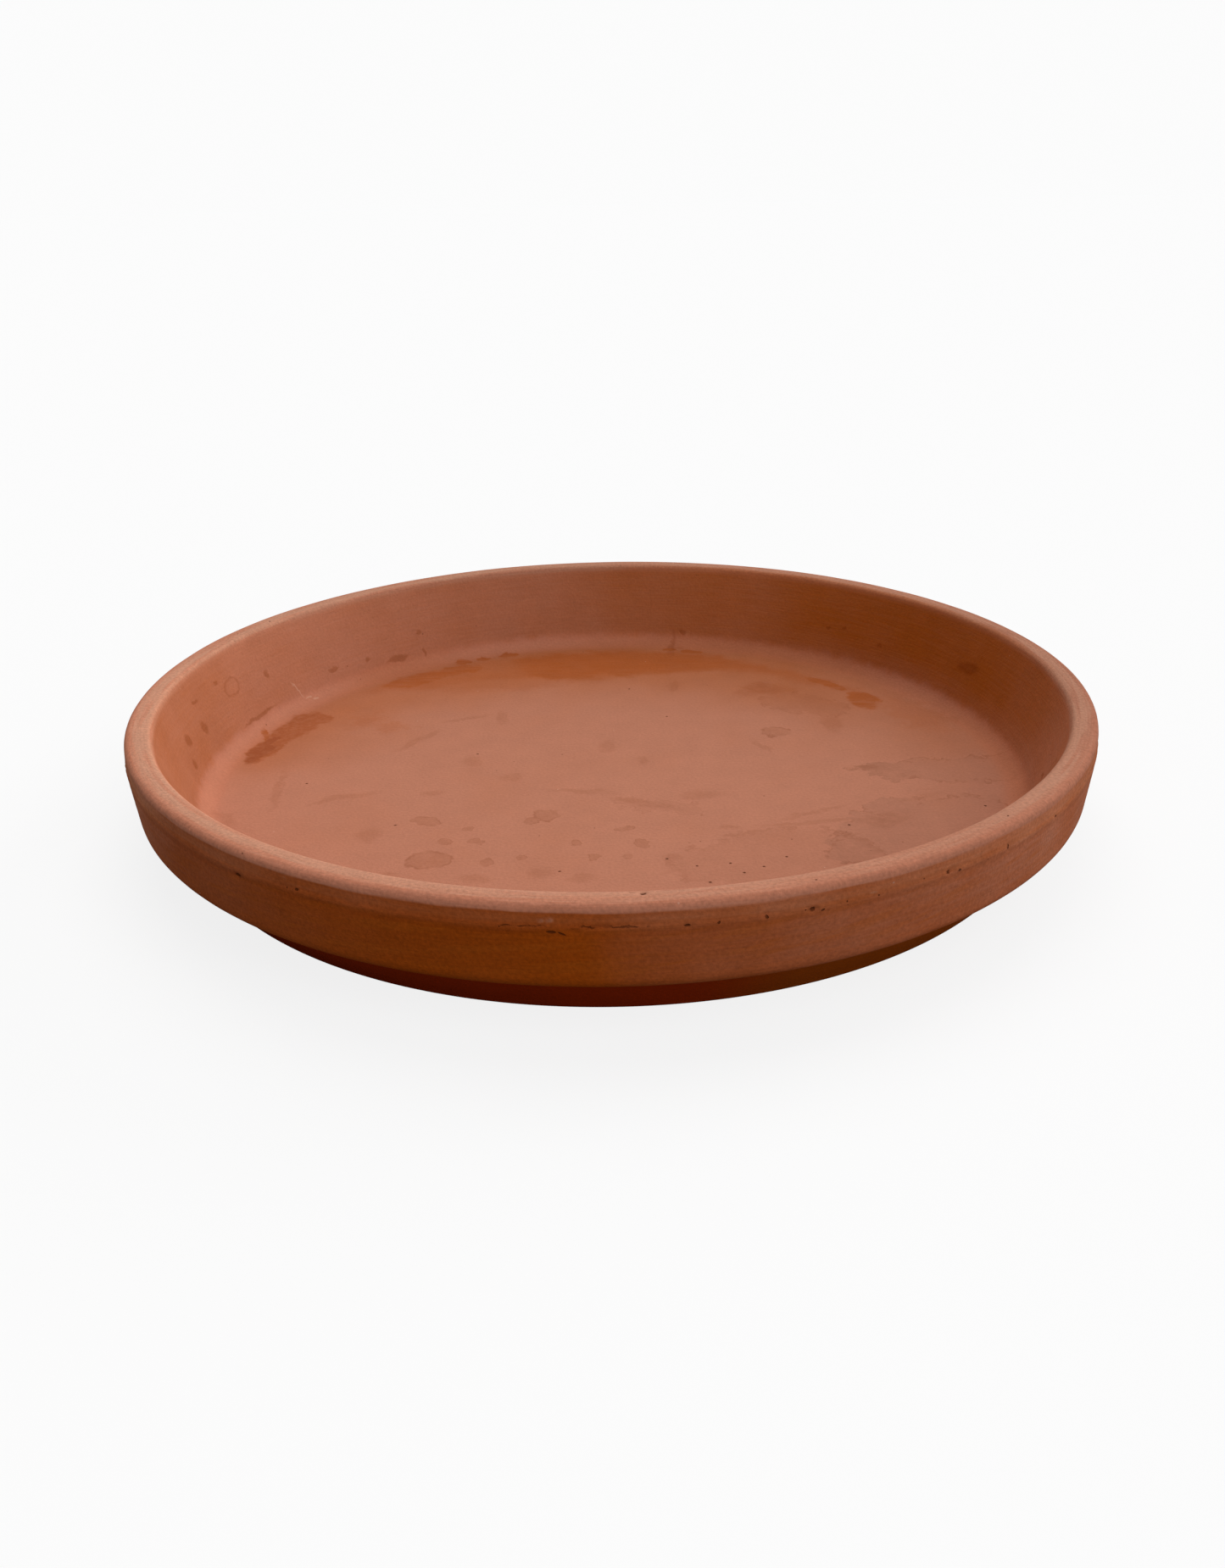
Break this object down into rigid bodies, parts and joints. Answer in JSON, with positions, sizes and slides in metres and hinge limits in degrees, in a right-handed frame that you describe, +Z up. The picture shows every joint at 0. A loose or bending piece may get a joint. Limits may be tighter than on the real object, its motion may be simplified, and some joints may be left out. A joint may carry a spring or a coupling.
{
  "type": "plant saucer",
  "caption": "Round, shallow terracotta saucer with an upright collar on a narrower flared foot, a rounded lip and a flat dished floor, for standing a plant pot in.",
  "frame": {"origin": "centre of the underside, on the surface that the saucer stands on", "axes": "+Z up, along the axis that the saucer is turned about; X and Y are alike"},
  "size_m": [0.2544, 0.2544, 0.0322],
  "materials": {
    "terracotta": "matte"
  },
  "bodies": {
    "root": {"saucer": "terracotta"}
  },
  "joints": []
}
